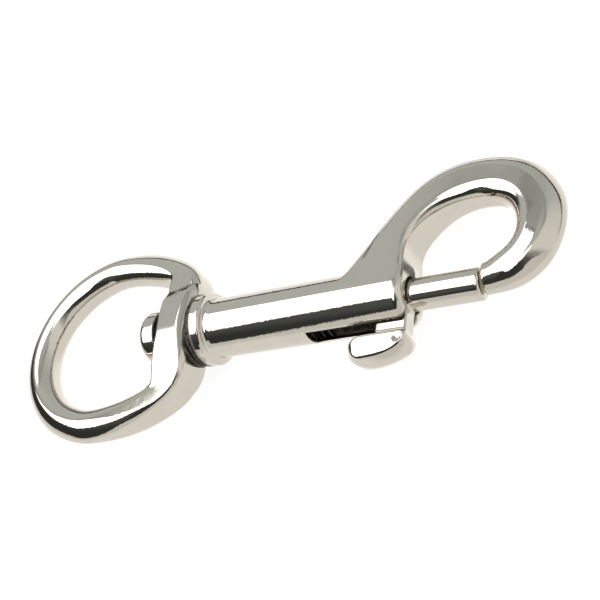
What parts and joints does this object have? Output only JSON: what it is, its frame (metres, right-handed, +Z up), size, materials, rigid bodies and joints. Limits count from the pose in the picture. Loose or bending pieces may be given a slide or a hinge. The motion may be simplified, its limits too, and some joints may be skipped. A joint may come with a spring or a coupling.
{
  "type": "swivel-eye bolt snap",
  "caption": "Swivel-eye bolt snap: a sprung bolt with a thumb pad closes a cast hook, and a D-shaped eye swivels on the end of the barrel.",
  "frame": {"origin": "on the surface the snap lies on, under the middle of its bounding box", "axes": "+X along the barrel from the eye to the hook, +Y to the side the hook bends to, +Z up, square to the plane of the hook"},
  "size_m": [0.101, 0.0402, 0.0123],
  "materials": {
    "nickel_plate": "polished nickel plate on a zinc casting",
    "rivet_steel": "polished nickel plate on steel",
    "spring_steel": "bright drawn wire"
  },
  "bodies": {
    "casting": {"body": "nickel_plate", "swivel_rivet": "rivet_steel", "spring": "spring_steel"},
    "plunger": {"bolt": "nickel_plate"},
    "swivel": {"eye": "nickel_plate"}
  },
  "joints": [
    {"name": "bolt_slide", "type": "slide", "parent": "casting", "child": "plunger", "axis": [-1, 0, 0], "range_m": [0, 0.0117], "stiffness_N_per_m": 727, "springref_m": -0.009, "deforming": ["spring"]},
    {"name": "eye_swivel", "type": "hinge", "parent": "casting", "child": "swivel", "pos_m": [-0.01577, -0.00186, 0.00615], "axis": [1, 0, 0], "continuous": true}
  ]
}
